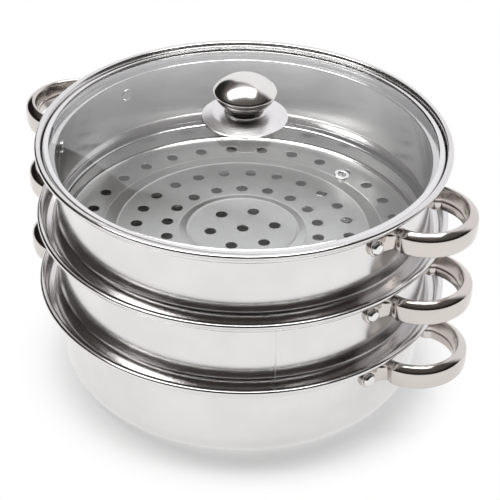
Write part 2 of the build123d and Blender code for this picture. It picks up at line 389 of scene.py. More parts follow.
@dataclass(frozen=True)
class Finish:
    """Finish of a kind of piece: its material's name and its slot of the record."""

    name: str
    slot: str

    def surface(self, shader: Shader) -> Flow:
        """Adds the nodes of the surface."""
        raise NotImplementedError

    def material(self) -> bpy.types.Material:
        """Builds the material, once for all finishes of its name.

        Returns:
            The material.
        """
        if self.name not in MATERIALS:
            made = MATERIALS[self.name] = bpy.data.materials.new(self.name)
            shader = Shader(made)
            shader.node("OutputMaterial", values={"Surface": self.surface(shader)})
        return MATERIALS[self.name]


class Grain(Enum):
    """Direction of the lines that finishing leaves on steel, with the scales of broad and fine ones."""

    UPRIGHT = (500.0, 2600.0)
    SPUN = (300.0, 1800.0)
    POLISHED = (90.0, 900.0)


@dataclass(frozen=True)
class WeldSeam:
    """Upright weld seam of a rolled wall, in metres; its depth is in heights of a brush line."""

    angle: float  # in degrees round the axis
    ends: Point
    edges: Point = (0.0003, 0.0009)
    fade: float = 0.002
    near: Point = (0.05, 0.06)
    depth: float = 3.0
    roughness: float = 0.15

    def share(self, x: Flow, y: Flow, z: Flow) -> Flow:
        """Works out where the seam lies.

        Args:
            x: First number of a point.
            y: Its second number.
            z: Its height.

        Returns:
            1 on the seam and 0 beside it.
        """
        front, across = along_across(x, y, self.angle)
        foot, top = self.ends
        span = z.ramp(foot, foot + self.fade) * z.ramp(top - self.fade, top, 1.0, 0.0)
        return across.absolute().ramp(*self.edges, 1.0, 0.0) * front.ramp(*self.near) * span


@dataclass(frozen=True)
class SteelFinish(Finish):
    """Stainless steel with its brushing and smudges."""

    colour: Colour
    roughness: float
    spread: float
    grain: Grain
    line_depth: float
    seam: Optional[WeldSeam] = None
    stretch: float = 0.03  # of upright lines, along over across
    broad_share: float = 0.4
    smudge_scale: float = 22.0
    smudge_share: float = 0.6
    smudge_edges: Point = (0.35, 0.7)
    worn: float = 0.94  # brightness of a smudge
    least_roughness: float = 0.03

    def surface(self, shader: Shader) -> Flow:
        """Adds the steel.

        Args:
            shader: What the nodes go into.

        Returns:
            The surface.
        """
        place = shader.place()
        x, y, z = shader.parts(place)
        lines = place
        if self.grain is Grain.UPRIGHT:
            lines = shader.vector(x, y, z * self.stretch)
        elif self.grain is Grain.SPUN:
            radius = shader.node("VectorMath", {"operation": "LENGTH"},
                                 {0: shader.vector(x, y, 0.0)}, output="Value")
            lines = shader.vector(radius, z, 0.0)
        wide, fine = self.grain.value
        broad = shader.noise(lines, wide, 3.0)
        hair = shader.noise(lines, fine, 2.0, 0.7)
        smudge = shader.noise(place, self.smudge_scale, 3.0)
        smudged = self.spread * self.smudge_share * (smudge - 0.5)
        rough = self.roughness + self.spread * (broad + hair - 1.0) + smudged
        height = broad * self.broad_share + hair
        if self.seam:
            seam = self.seam.share(x, y, z)
            height = height - seam * self.seam.depth
            rough = rough + seam * self.seam.roughness
        worn = tuple(c * self.worn for c in self.colour)
        return shader.node("BsdfPrincipled", values={
            "Base Color": shader.blend(smudge.ramp(*self.smudge_edges), worn, self.colour),
            "Metallic": 1.0,
            "Roughness": rough.larger(self.least_roughness),
            "Normal": shader.bump(height, self.line_depth),
        })


@dataclass(frozen=True)
class GlassFinish(Finish):
    """Clear domed glass that mirrors more where it is seen flat.

    Its upper face carries the mirror of both faces, so that the edges of what it mirrors aren't doubled.
    """

    tint: Colour
    index: float
    centre: float
    middle: float
    gap: float = 0.0005
    flat_power: float = 5.0
    roughness: float = 0.01

    def surface(self, shader: Shader) -> Flow:
        """Adds the glass.

        Args:
            shader: What the nodes go into.

        Returns:
            The surface.
        """
        square_on = ((self.index - 1) / (self.index + 1)) ** 2
        facing = shader.node("LayerWeight", values={"Blend": 0.5}, output="Facing")
        mirror = square_on + (1 - square_on) * facing.power(self.flat_power)
        x, y, z = shader.parts(shader.place())
        up = z - self.centre
        upper = (x * x + y * y + up * up).power(0.5).ramp(self.middle - self.gap, self.middle + self.gap)
        mirror = mirror * (2 - mirror) * upper
        clear = shader.node("BsdfTransparent", values={"Color": self.tint})
        gloss = shader.node("BsdfAnisotropic", values={
            "Color": (1.0, 1.0, 1.0), "Roughness": self.roughness})
        return shader.node("MixShader", values={0: mirror, 1: clear, 2: gloss})


@dataclass(frozen=True)
class SiliconeFinish(Finish):
    """Soft matt silicone with fine specks."""

    colour: Colour
    roughness: float
    spread: float = 0.1
    speck_scale: float = 900.0
    speck_shade: float = 0.85
    speck_depth: float = 3e-5

    def surface(self, shader: Shader) -> Flow:
        """Adds the silicone.

        Args:
            shader: What the nodes go into.

        Returns:
            The surface.
        """
        speck = shader.noise(shader.place(), self.speck_scale, 3.0)
        shade = tuple(c * self.speck_shade for c in self.colour)
        return shader.node("BsdfPrincipled", values={
            "Base Color": shader.blend(speck, shade, self.colour),
            "Roughness": self.roughness + self.spread * (speck - 0.5),
            "Normal": shader.bump(speck, self.speck_depth),
        })


WALL_STEEL = SteelFinish("satin_steel", "satin_steel", (0.78, 0.768, 0.764), 0.16, 0.05, Grain.UPRIGHT, 4e-6)
SEAMED_STEEL = replace(WALL_STEEL, name="satin_steel_seamed", seam=WeldSeam(-50.6, (0.074, 0.123)))
FLOOR_STEEL = SteelFinish("spun_steel", "satin_steel", (0.74, 0.735, 0.73), 0.36, 0.05, Grain.SPUN, 6e-6)
HANDLE_STEEL = SteelFinish("handle_steel", "handle_steel", (0.68, 0.635, 0.605), 0.15, 0.05,
                           Grain.POLISHED, 8e-6)
RIVET_STEEL = SteelFinish("rivet_steel", "rivet_steel", (0.84, 0.83, 0.82), 0.14, 0.05, Grain.POLISHED, 8e-6)
SCREW_STEEL = replace(RIVET_STEEL, slot="knob_steel")
BAND_STEEL = SteelFinish("band_steel", "band_steel", (0.84, 0.835, 0.83), 0.12, 0.05, Grain.SPUN, 6e-6)
KNOB_STEEL = SteelFinish("knob_steel", "knob_steel", (0.84, 0.82, 0.80), 0.17, 0.04, Grain.POLISHED, 4e-6)
# Painted shade: the knob's steel with a dark base colour, which stands for the dark that the skirt mirrors
# under the cap.
SKIRT_STEEL_PAINTED_SHADE = SteelFinish("knob_skirt_steel_painted_shade", "knob_steel", (0.31, 0.295, 0.28), 0.18, 0.05, Grain.SPUN, 6e-6)
FLANGE_STEEL = SteelFinish("flange_steel", "knob_steel", (0.84, 0.83, 0.83), 0.27, 0.06, Grain.SPUN, 3e-6)
# Painted shade: steel with a near-black base colour, which stands for the shade in the spacer's recess under
# the skirt.
NECK_STEEL_PAINTED_SHADE = SteelFinish("neck_steel", "knob_neck_steel", (0.22, 0.21, 0.20), 0.42, 0.10, Grain.SPUN, 8e-6)
SILICONE = SiliconeFinish("silicone", "silicone", (0.62, 0.62, 0.60), 0.55)


@dataclass
class Assembly:
    """Pieces that ride on one body: each a mesh, the node that it stands for and its finish."""

    body: str
    pieces: list[tuple[Shape, str, Finish]] = field(default_factory=list, init=False)

    def build(self) -> None:
        """Makes the pieces."""
        raise NotImplementedError

    def add(self, shape: Shape, node: str, finish: Finish) -> None:
        """Adds a piece."""
        self.pieces.append((shape, node, finish))

    def add_turned(self, node: str, kind: str, outline: Path, finish: Finish, segments: int,
                   closed: bool = True, sharp_angle: float = 40.0) -> None:
        """Adds a piece that is an outline turned about the Z axis.

        Args:
            node: The node that it stands for.
            kind: What its name adds to the node's.
            outline: Its points of radius and height.
            finish: Its finish.
            segments: Faces round the axis.
            closed: Whether its ends are joined.
            sharp_angle: Degrees over which an edge stays sharp.
        """
        body = bmesh.new()
        turn_outline(body, outline, segments, closed)
        self.add(finished(node + kind, body, sharp_angle), node, finish)

    def dress(self) -> None:
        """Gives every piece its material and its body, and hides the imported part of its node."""
        for shape, node, finish in self.pieces:
            shape.data.materials.clear()
            shape.data.materials.append(finish.material())
            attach(shape, self.body)
            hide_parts(node)
            LOG.info("%s rides on %s: %d faces", shape.name, self.body, len(shape.data.polygons))


# Vessels


@dataclass
class RolledRim:
    """Rim that the pot and both steamers share: a curl over a recess with a seat ledge."""

    radius: float = 145.0
    width: float = 4.0
    height: float = 3.7
    curl_end: Point = (0.75, 0.1)
    curl_foot: float = 1.5
    curl_radius: float = 1.8
    recess_depth: float = 8.8
    recess_lean: float = 2.1
    recess_bends: Point3 = (1.3, 1.6, 1.5)
    ledge_drop: float = 0.8
    wall_radius: float = 130.3
    sheet: float = 0.6

    @property
    def ledge_radius(self) -> float:
        """Outer radius of the seat ledge."""
        return self.radius - self.width - self.recess_lean

    def face(self, top: float) -> tuple[list[Point], list[float]]:
        """Draws the rim from the curl's free edge to the ledge's inner edge.

        Args:
            top: Height of the rim's top.

        Returns:
            The corners and their radii.
        """
        inner, low = self.radius - self.width, top - self.height
        corners = [
            (inner + self.curl_end[0], low + self.curl_end[1]), (inner + self.curl_foot, low),
            (self.radius, low), (self.radius, top), (inner, top),
            (self.ledge_radius, top - self.recess_depth),
            (self.wall_radius, top - self.recess_depth - self.ledge_drop),
        ]
        return corners, [0.0, 0.0, self.curl_radius, self.curl_radius, *self.recess_bends]

    def ledge_height(self, radius: float, top: float) -> float:
        """Height of the ledge's upper face at a radius."""
        slope = self.ledge_drop / (self.ledge_radius - self.wall_radius)
        return top - self.recess_depth - slope * (self.ledge_radius - radius)


class Stretch(Enum):
    """Places along a handle for which its section is drawn."""

    BAR = "bar"
    ROOT = "where the leg meets the wall"
    LUG = "lug"


@dataclass
class LoopHandles:
    """Pair of hollow loop handles whose legs flatten to riveted lugs."""

    rim_top: float
    centre: float = 139.5
    reach: float = 36.0
    thickness: float = 9.0
    crest_depth: float = 9.0
    foot_depth: float = 27.5
    flare: float = 33.2
    bend_radius: float = 6.8
    wall_radius: float = 131.0
    lug_thickness: float = 2.2
    lug_height: float = 13.0
    lug_tip_share: float = 0.12
    rivet_angle: float = 19.2
    rivet_depth: float = 22.0
    groove_top: float = 2.7
    groove_foot: float = 1.2
    groove_slope: float = 0.4
    crown_steps: int = 30
    leg_steps: int = 14
    bend_steps: int = 12
    lug_steps: int = 3
    end_steps: int = 7

    def groove(self, face: float, depth: float, cuts: Point = (0.4, 0.3)) -> list[Point3]:
        """Draws the groove along the inner face.

        Args:
            face: Depth of the inner face.
            depth: Depth of the groove.
            cuts: What is cut at the corners of its edges and of its floor.

        Returns:
            Its corners, as in a section.
        """
        top, foot = self.groove_top - self.rivet_depth, self.groove_foot - self.rivet_depth
        edge, floor = cuts
        return [(face, top, edge), (face - depth, top - self.groove_slope, floor),
                (face - depth, foot + self.groove_slope, floor), (face, foot, edge)]

    def section(self, stretch: Stretch) -> list[Point3]:
        """Draws the bar's section.

        Args:
            stretch: Where along the handle.

        Returns:
            Its corners: depth from the outer face, height from the rim's top, and the length that is cut
            from both sides of the corner.
        """
        foot, crest, middle = -self.foot_depth, -self.crest_depth, -self.rivet_depth
        low, high = middle - self.lug_height / 2, middle + self.lug_height / 2
        if stretch is Stretch.BAR:
            t = self.thickness
            return [
                (0.9, foot, 2.2), (0.0, foot + 5.5, 3.0), (0.1, crest - 4.6, 2.0), (4.3, crest - 1.3, 2.0),
                (6.6, crest - 1.2, 1.4), (t - 0.3, middle + 4.4, 1.0), *self.groove(t, 1.7), (t, foot, 1.9),
            ]
        if stretch is Stretch.ROOT:
            t = self.thickness + self.flare - self.reach
            return [
                (0.8, low, 2.0), (0.0, middle - 1.0, 3.0), (0.3, high - 2.2, 1.8), (2.6, high + 0.3, 1.5),
                (t - 3.0, high + 0.3, 1.2), (t - 0.3, middle + 4.0, 0.8), *self.groove(t, 1.5), (t, low, 1.8),
            ]
        t = self.lug_thickness
        return [
            (0.0, low, 1.0), (0.0, middle, 1.0), (0.0, high - 1.2, 0.5), (0.0, high, 0.9),
            (t, high, 0.9), (t, high - 1.2, 0.5), *self.groove(t, 0.0, (0.1, 0.1)), (t, low, 1.0),
        ]

    def mixed(self, shares: dict[Stretch, float]) -> list[Point]:
        """Blends and softens sections.

        Args:
            shares: Share of each, which together make 1.

        Returns:
            Points of the section between them.
        """
        drawn = [[[share * part for part in corner] for corner in self.section(stretch)]
                 for stretch, share in shares.items()]
        corners = [[sum(parts) for parts in zip(*same)] for same in zip(*drawn)]
        return softened([(depth, height) for depth, height, _ in corners], [cut for _, _, cut in corners])

    def half(self) -> list[list[Point3]]:
        """Draws half a handle.

        Returns:
            Rings from the handle's crown to the end of one lug.
        """
        rings: list[list[Point3]] = []

        def add(spot: Point, inwards: Point, outline: Iterable[Point]) -> None:
            """Adds one ring, kept clear of the wall.

            Args:
                spot: Place of the outer face.
                inwards: Direction in which the section's depth counts.
                outline: The section.
            """
            ring = []
            for depth, height in outline:
                x, v = spot[0] + inwards[0] * depth, spot[1] + inwards[1] * depth
                out = max(1.0, self.wall_radius / hypot(x, v))
                ring.append((x * out, v * out, self.rim_top + height))
            rings.append(ring)

        def add_lug(angle: float, outline: Iterable[Point]) -> None:
            """Adds one ring of the lug, on the wall."""
            out = (cos(angle), sin(angle))
            add((face * out[0], face * out[1]), (-out[0], -out[1]), outline)

        for step in range(self.crown_steps + 1):
            angle = pi / 2 * step / self.crown_steps
            out = (cos(angle), sin(angle))
            spot = (self.centre + self.reach * out[0], self.reach * out[1])
            add(spot, (-out[0], -out[1]), self.mixed({Stretch.BAR: 1.0}))
        face = self.wall_radius + self.lug_thickness
        level = self.flare + self.bend_radius
        bend_x = sqrt((face + self.bend_radius) ** 2 - level**2)
        tangent = atan2(level, bend_x)
        leg, bend = self.centre - bend_x, self.bend_radius * (pi / 2 - tangent)
        for step in range(1, self.leg_steps + 1):
            share = step / self.leg_steps
            spot = (lerp(self.centre, bend_x, share), lerp(self.reach, self.flare, ease(share)))
            flat = ease(share * leg / (leg + bend))
            add(spot, (0.0, -1.0), self.mixed({Stretch.BAR: 1 - flat, Stretch.ROOT: flat}))
        start = pi * 1.5
        for step in range(1, self.bend_steps + 1):
            share = step / self.bend_steps
            angle = start + (pi + tangent - start) * share
            out = (cos(angle), sin(angle))
            spot = (bend_x + self.bend_radius * out[0], level + self.bend_radius * out[1])
            flat, thin = ease((leg + share * bend) / (leg + bend)), ease(share)
            add(spot, out, self.mixed({
                Stretch.BAR: (1 - flat) * (1 - thin), Stretch.ROOT: flat * (1 - thin), Stretch.LUG: thin}))
        rivet = radians(self.rivet_angle)
        plain = self.mixed({Stretch.LUG: 1.0})
        for step in range(1, self.lug_steps + 1):
            add_lug(lerp(tangent, rivet, step / self.lug_steps), plain)
        for step in range(1, self.end_steps + 1):
            turn = pi / 2 * step / self.end_steps
            shrink = max(cos(turn), self.lug_tip_share)
            add_lug(rivet + self.lug_height / 2 * sin(turn) / face, [
                (depth, -self.rivet_depth + (height + self.rivet_depth) * shrink) for depth, height in plain
            ])
        return rings

    def build(self, name: str) -> Shape:
        """Makes the mesh of both handles.

        Args:
            name: Name of the object.

        Returns:
            The object.
        """
        half = self.half()
        other = [[(x, -v, z) for x, v, z in ring] for ring in half[:0:-1]]
        right = other + half
        body = bmesh.new()
        skin_rings(body, right)
        skin_rings(body, [[(-x, v, z) for x, v, z in ring] for ring in right])
        return finished(name, body, 55.0)


@dataclass
class RivetSet:
    """Four rivets through the lugs and the wall of one vessel."""

    rim_top: float
    angle: float = 19.2
    depth: float = 22.0
    head_seat: float = 133.3
    head_radius: float = 5.0
    head_height: float = 2.6
    head_edge: float = 0.8
    head_undercut: float = 0.15
    crown_inset: Point = (1.5, 0.2)
    tail_seat: float = 130.12
    tail_radius: float = 4.6
    tail_height: float = 1.0
    shank_radius: float = 2.5
    segments: int = 32

    def build(self, name: str) -> Shape:
        """Makes the mesh of the four rivets.

        Args:
            name: Name of the object.

        Returns:
            The object.
        """
        r, h = self.head_radius, self.head_height
        dome = rounded([
            (0.0, h), (r - self.crown_inset[0], h - self.crown_inset[1]), (r, self.head_edge),
            (r - self.head_undercut, 0.0),
        ], [0.0, 1.5, 0.6, 0.0], 8)
        grip = self.head_seat - self.tail_seat
        tail = rounded([(self.shank_radius, -grip), (self.tail_radius, -grip),
                        (self.tail_radius, -grip - self.tail_height), (0.0, -grip - self.tail_height)],
                       [0.0, 0.25, 0.7, 0.0], 4)
        outline = dome + [(self.shank_radius, 0.0)] + tail
        body = bmesh.new()
        for angle in (self.angle, -self.angle, 180 - self.angle, 180 + self.angle):
            turn = radians(angle)
            out = Vector((cos(turn), sin(turn), 0))
            side = Vector((-sin(turn), cos(turn), 0))
            seat = out * self.head_seat + Vector((0, 0, self.rim_top - self.depth))
            place = Matrix.Translation(seat) @ Matrix((side, (0, 0, 1), out)).transposed().to_4x4()
            turn_outline(body, outline, self.segments, closed=False, place=place)
        return finished(name, body, 50.0)


@dataclass
class Vessel(Assembly):
    """Pot or steamer: a wall under a rolled rim, with handles and rivets."""

    rim: RolledRim
    rim_top: float

    def add_fittings(self) -> None:
        """Adds the handles and their rivets."""
        for fitting, kind, shape, finish in ((LoopHandles(self.rim_top), "_handles", "_loop", HANDLE_STEEL),
                                             (RivetSet(self.rim_top), "_rivets", "_domed", RIVET_STEEL)):
            node = self.body + kind
            self.add(fitting.build(node + shape), node, finish)


@dataclass
class Pot(Vessel):
    """Pot at the bottom of the stack."""

    rim_top: float = 74.5
    straight_depth: float = 29.0
    lean: float = 5.0
    shoulder_radius: float = 60.0
    corner_radius: float = 22.0

    def build(self) -> None:
        """Makes the body, its handles and its rivets."""
        corners, radii = self.rim.face(self.rim_top)
        shoulder = self.rim_top - self.straight_depth
        foot = self.rim.wall_radius - (shoulder - self.rim.sheet) * tan(radians(self.lean))
        corners += [(self.rim.wall_radius, shoulder), (foot, self.rim.sheet), (0.0, self.rim.sheet)]
        radii += [self.shoulder_radius, self.corner_radius, 0.0]
        outline = sheet_outline(rounded(corners, radii, 8), self.rim.sheet)
        outline = [(max(r, 0.0), max(z, 0.0)) for r, z in outline]
        self.add_turned("pot_body", "_skin", outline, WALL_STEEL, WALL_SEGMENTS, closed=False)
        self.add_fittings()


@dataclass
class SteamerFloor:
    """Pressed floor with rings of punched holes."""

    edge: float
    sheet: float = 0.6
    step_outer: float = 101.0
    step_inner: float = 89.0
    step_height: float = 0.8
    dish_outer: float = 46.4
    dish_inner: float = 38.0
    dish_height: float = 0.9
    foot_curve: Curve = ((0.0, 0.0), (-0.8, -0.12), (-1.6, -0.04))  # of a slope, from its outer edge
    ridge_curve: Curve = ((2.8, 0.02), (2.0, 0.22), (1.2, 0.22), (0.4, 0.02), (0.0, 0.0))
    hole_radius: float = 4.1
    hole_lip: float = 0.35
    hole_phase: float = 40.0
    lip_curve: Curve = ((1.0, 0.0), (0.4, -0.12), (0.1, -0.5), (0.0, -1.0))
    rings: tuple[tuple[float, int], ...] = ((0.0, 1), (23.3, 6), (54.5, 18), (76.0, 24), (110.6, 30))
    segments: int = 192
    hole_segments: int = 28

    def plate(self, body: Mesh, inner: float, outer: float, top: float) -> None:
        """Adds a flat zone with its holes, both faces and the holes' walls.

        Args:
            body: What the faces go into.
            inner: Inner radius of the zone.
            outer: Its outer radius.
            top: Height of its upper face.
        """
        spots = [spot for radius, count in self.rings if inner <= radius < outer
                 for spot in circle(radius, count, phase=radians(self.hole_phase))]
        axis = (0.0, 0.0)
        flared = self.hole_radius + self.hole_lip
        for height, hole in ((top, flared), (top - self.sheet, self.hole_radius)):
            loops = [(axis, outer, self.segments)] + [(spot, hole, self.hole_segments) for spot in spots]
            if inner > 0:
                loops.append((axis, inner, self.segments))
            edges = []
            for middle, radius, count in loops:
                ring = [body.verts.new(Vector((x, y, height)) * MM) for x, y in circle(radius, count, middle)]
                edges += [body.edges.new((ring[k - 1], ring[k])) for k in range(count)]
            bmesh.ops.triangle_fill(body, use_beauty=True, use_dissolve=False, edges=edges)
        lip = self.hole_lip
        wall = [(self.hole_radius + r * lip, z * lip) for r, z in self.lip_curve]
        wall.append((self.hole_radius, -self.sheet))
        for x, y in spots:
            place = Matrix.Translation((x, y, top))
            turn_outline(body, wall, self.hole_segments, closed=False, place=place)

    def slope(self, body: Mesh, foot: Point, ridge: Point) -> None:
        """Adds the slope between two zones, both faces.

        Args:
            body: What the faces go into.
            foot: Radius and height of its outer edge.
            ridge: Radius and height of its inner edge.
        """
        path = shifted(self.foot_curve, *foot) + shifted(self.ridge_curve, *ridge)
        for drop in (0.0, self.sheet):
            turn_outline(body, shifted(path, 0.0, -drop), self.segments, closed=False)

    def build(self, name: str, low: float) -> Shape:
        """Makes the mesh of the floor.

        Args:
            name: Name of the object.
            low: Height of the upper face at its edge.

        Returns:
            The object.
        """
        body = bmesh.new()
        raised = low + self.step_height
        middle = raised + self.dish_height
        self.plate(body, self.step_outer, self.edge, low)
        self.slope(body, (self.step_outer, low), (self.step_inner, raised))
        self.plate(body, self.dish_outer, self.step_inner, raised)
        self.slope(body, (self.dish_outer, raised), (self.dish_inner, middle))
        self.plate(body, 0.0, self.dish_inner, middle)
        turn_outline(body, [(self.edge, low), (self.edge, low - self.sheet)], self.segments, closed=False)
        return finished(name, body, 8.0)


@dataclass
class Steamer(Vessel):
    """Steamer tier that nests in the rim below it."""

    finish: Finish = WALL_STEEL
    pitch: float = 54.4
    wall_depth: float = 52.9
    bead_radius: float = 134.4
    bead_bends: Point3 = (3.0, 0.7, 2.2)
    skirt_radius: float = 128.1
    floor_depth: float = 76.1
    floor_fillet: float = 2.5
    floor_gap: float = 0.2
    seat_gap: float = 0.3

    def build(self) -> None:
        """Makes the wall, the floor, the handles and the rivets."""
        sheet = self.rim.sheet
        below = self.rim_top - self.pitch
        lift = self.seat_gap + sheet
        low = self.rim_top - self.floor_depth + sheet
        edge = self.skirt_radius - self.floor_fillet - self.floor_gap
        corners, radii = self.rim.face(self.rim_top)
        corners += [
            (self.rim.wall_radius, self.rim_top - self.wall_depth),
            (self.bead_radius, self.rim.ledge_height(self.bead_radius, below) + lift),
            (self.skirt_radius, self.rim.ledge_height(self.skirt_radius, below) + lift),
            (self.skirt_radius, low), (edge, low),
        ]
        radii += [*self.bead_bends, self.floor_fillet, 0.0]
        outline = sheet_outline(rounded(corners, radii, 7), sheet)
        self.add_turned(self.body + "_wall", "_skin", outline, self.finish, WALL_SEGMENTS)
        floor = SteamerFloor(edge).build(self.body + "_floor_pierced", low)
        self.add(floor, self.body + "_floor", FLOOR_STEEL)
        self.add_fittings()


@dataclass
class GlassLid(Assembly):
    """Domed glass in a rolled steel band, with its steam vent."""

    rim: RolledRim
    rim_top: float
    thickness: float = 4.0
    glass_radius: float = 137.4
    edge_cut: float = 0.9
    edge_bulge: float = 0.2
    dome_radius: float = 440.0
    dome_height: float = 19.0
    dome_rows: int = 36
    band_sheet: float = 0.5
    band_radius: float = 139.5
    band_lean: float = 1.2
    band_lip: float = 3.0
    band_drop: float = 0.45
    band_bends: Point = (0.7, 0.6)
    lip_end: Point = (0.6, 0.12)
    lip_gap: float = 0.15
    seat_gap: float = 0.3
    vent_place: float = 88.8
    vent_turn: float = -13.9
    vent_radius: float = 5.0
    vent_sleeve: float = 3.3
    vent_bore: float = 2.6
    vent_lip: float = 0.9
    vent_gap: float = 0.1
    vent_bends: Point3 = (0.5, 0.7, 0.1)
    screw_hole: float = 2.8

    @property
    def dome_centre(self) -> float:
        """Height of the centre of the dome's sphere."""
        return self.rim_top + self.dome_height - self.dome_radius

    def finish(self) -> GlassFinish:
        """Finish of the glass."""
        return GlassFinish("clear_glass", "clear_glass", (0.985, 0.99, 0.988), 1.6, self.dome_centre * MM,
                           (self.dome_radius - self.thickness / 2) * MM)

    def top_height(self, radius: float) -> float:
        """Height of the glass's upper face at a radius."""
        return self.dome_centre + sqrt(self.dome_radius**2 - radius**2)

    def add_glass(self) -> None:
        """Adds the glass."""
        radii = [lerp(self.screw_hole, self.glass_radius - self.edge_cut, k / self.dome_rows)
                 for k in range(self.dome_rows + 1)]
        upper = [(radius, self.top_height(radius)) for radius in radii]
        lower = [(r, z - self.thickness) for r, z in reversed(upper)]
        top, foot, side = upper[-1][1], lower[0][1], self.glass_radius - self.edge_bulge
        rim = [(side, top - self.edge_cut), (self.glass_radius, top - self.thickness / 2),
               (side, foot + self.edge_cut)]
        self.add_turned("lid_glass", "_dome", upper + rim + lower, self.finish(), 192, sharp_angle=60)

    def add_band(self) -> None:
        """Adds the steel band round the glass's edge."""
        tip = self.glass_radius - self.band_lip / 2
        high = self.top_height(tip)
        lip = self.band_radius - self.band_lean
        floor = self.rim.ledge_height(lip, self.rim_top) + self.seat_gap + self.band_sheet
        corners = [
            (tip - self.lip_end[0], high + self.lip_end[1]), (tip, high + self.lip_gap),
            (self.band_radius - self.band_sheet, high - self.band_drop),
            (lip - self.band_sheet, floor), (lip - self.band_lip, floor),
        ]
        face = rounded(corners, [0.0, 0.0, *self.band_bends, 0.0])
        curl = sheet_outline(face, self.band_sheet)
        self.add_turned("lid_band", "_curl", curl, BAND_STEEL, WALL_SEGMENTS)

    def add_vent(self) -> None:
        """Adds the steel eyelet."""
        fall = self.vent_place / sqrt(self.dome_radius**2 - self.vent_place**2)
        place = (
            Matrix.Rotation(radians(self.vent_turn), 4, "Z")
            @ Matrix.Translation((self.vent_place, 0, self.top_height(self.vent_place)))
            @ Matrix.Rotation(atan(fall), 4, "Y")
        )
        gap, under = self.vent_gap, -self.thickness - self.vent_gap
        outline = rounded([
            (self.vent_bore, self.vent_lip), (self.vent_radius, self.vent_lip), (self.vent_radius, gap),
            (self.vent_sleeve, gap), (self.vent_sleeve, under), (self.vent_bore, under),
        ], [*self.vent_bends, 0.0, 0.0, 0.0], 5, closed=True)
        body = bmesh.new()
        turn_outline(body, outline, 40, place=place)
        self.add(finished("vent_grommet_eyelet", body, 50.0), "vent_grommet", BAND_STEEL)

    def build(self) -> None:
        """Makes the glass, the band and the eyelet."""
        self.add_glass()
        self.add_band()
        self.add_vent()


